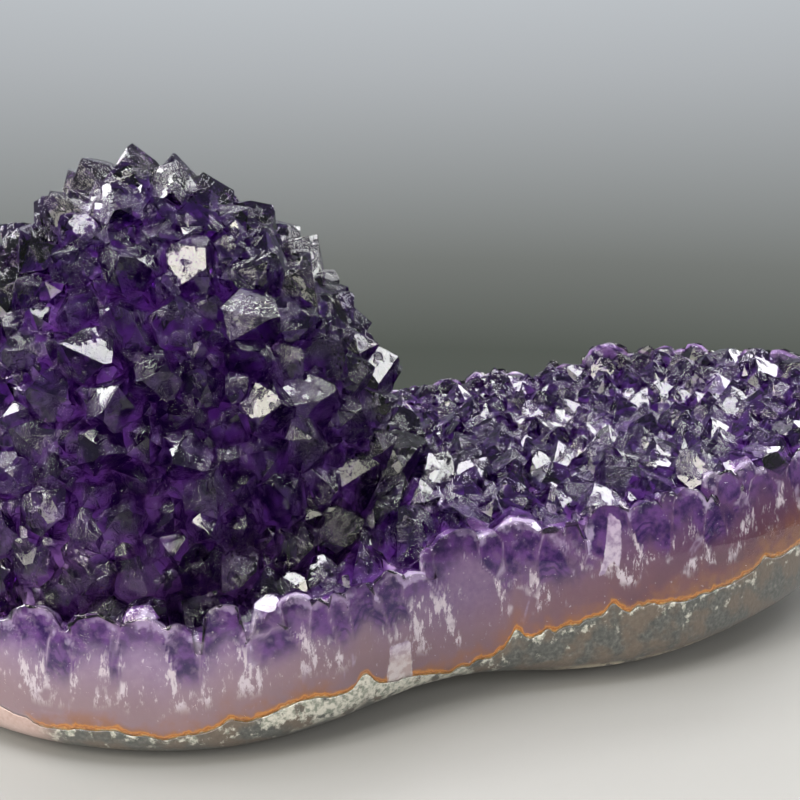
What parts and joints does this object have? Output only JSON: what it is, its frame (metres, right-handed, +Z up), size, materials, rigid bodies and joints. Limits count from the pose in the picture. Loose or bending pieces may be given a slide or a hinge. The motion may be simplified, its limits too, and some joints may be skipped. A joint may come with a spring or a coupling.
{
  "type": "amethyst rosette",
  "caption": "Free-standing amethyst specimen: a polished slab of geode wall under a crust of purple crystals, with a tall mound at one end.",
  "frame": {"origin": "on the ground, under the middle of the whole specimen", "axes": "+X along the slab from the mound to the raised end, +Y to the back, +Z up"},
  "size_m": [0.3108, 0.2072, 0.1395],
  "materials": {
    "host_rock": "satin",
    "amethyst": "polished"
  },
  "bodies": {
    "root": {"host_rock": "host_rock", "amethyst_crust": "amethyst"}
  },
  "joints": []
}
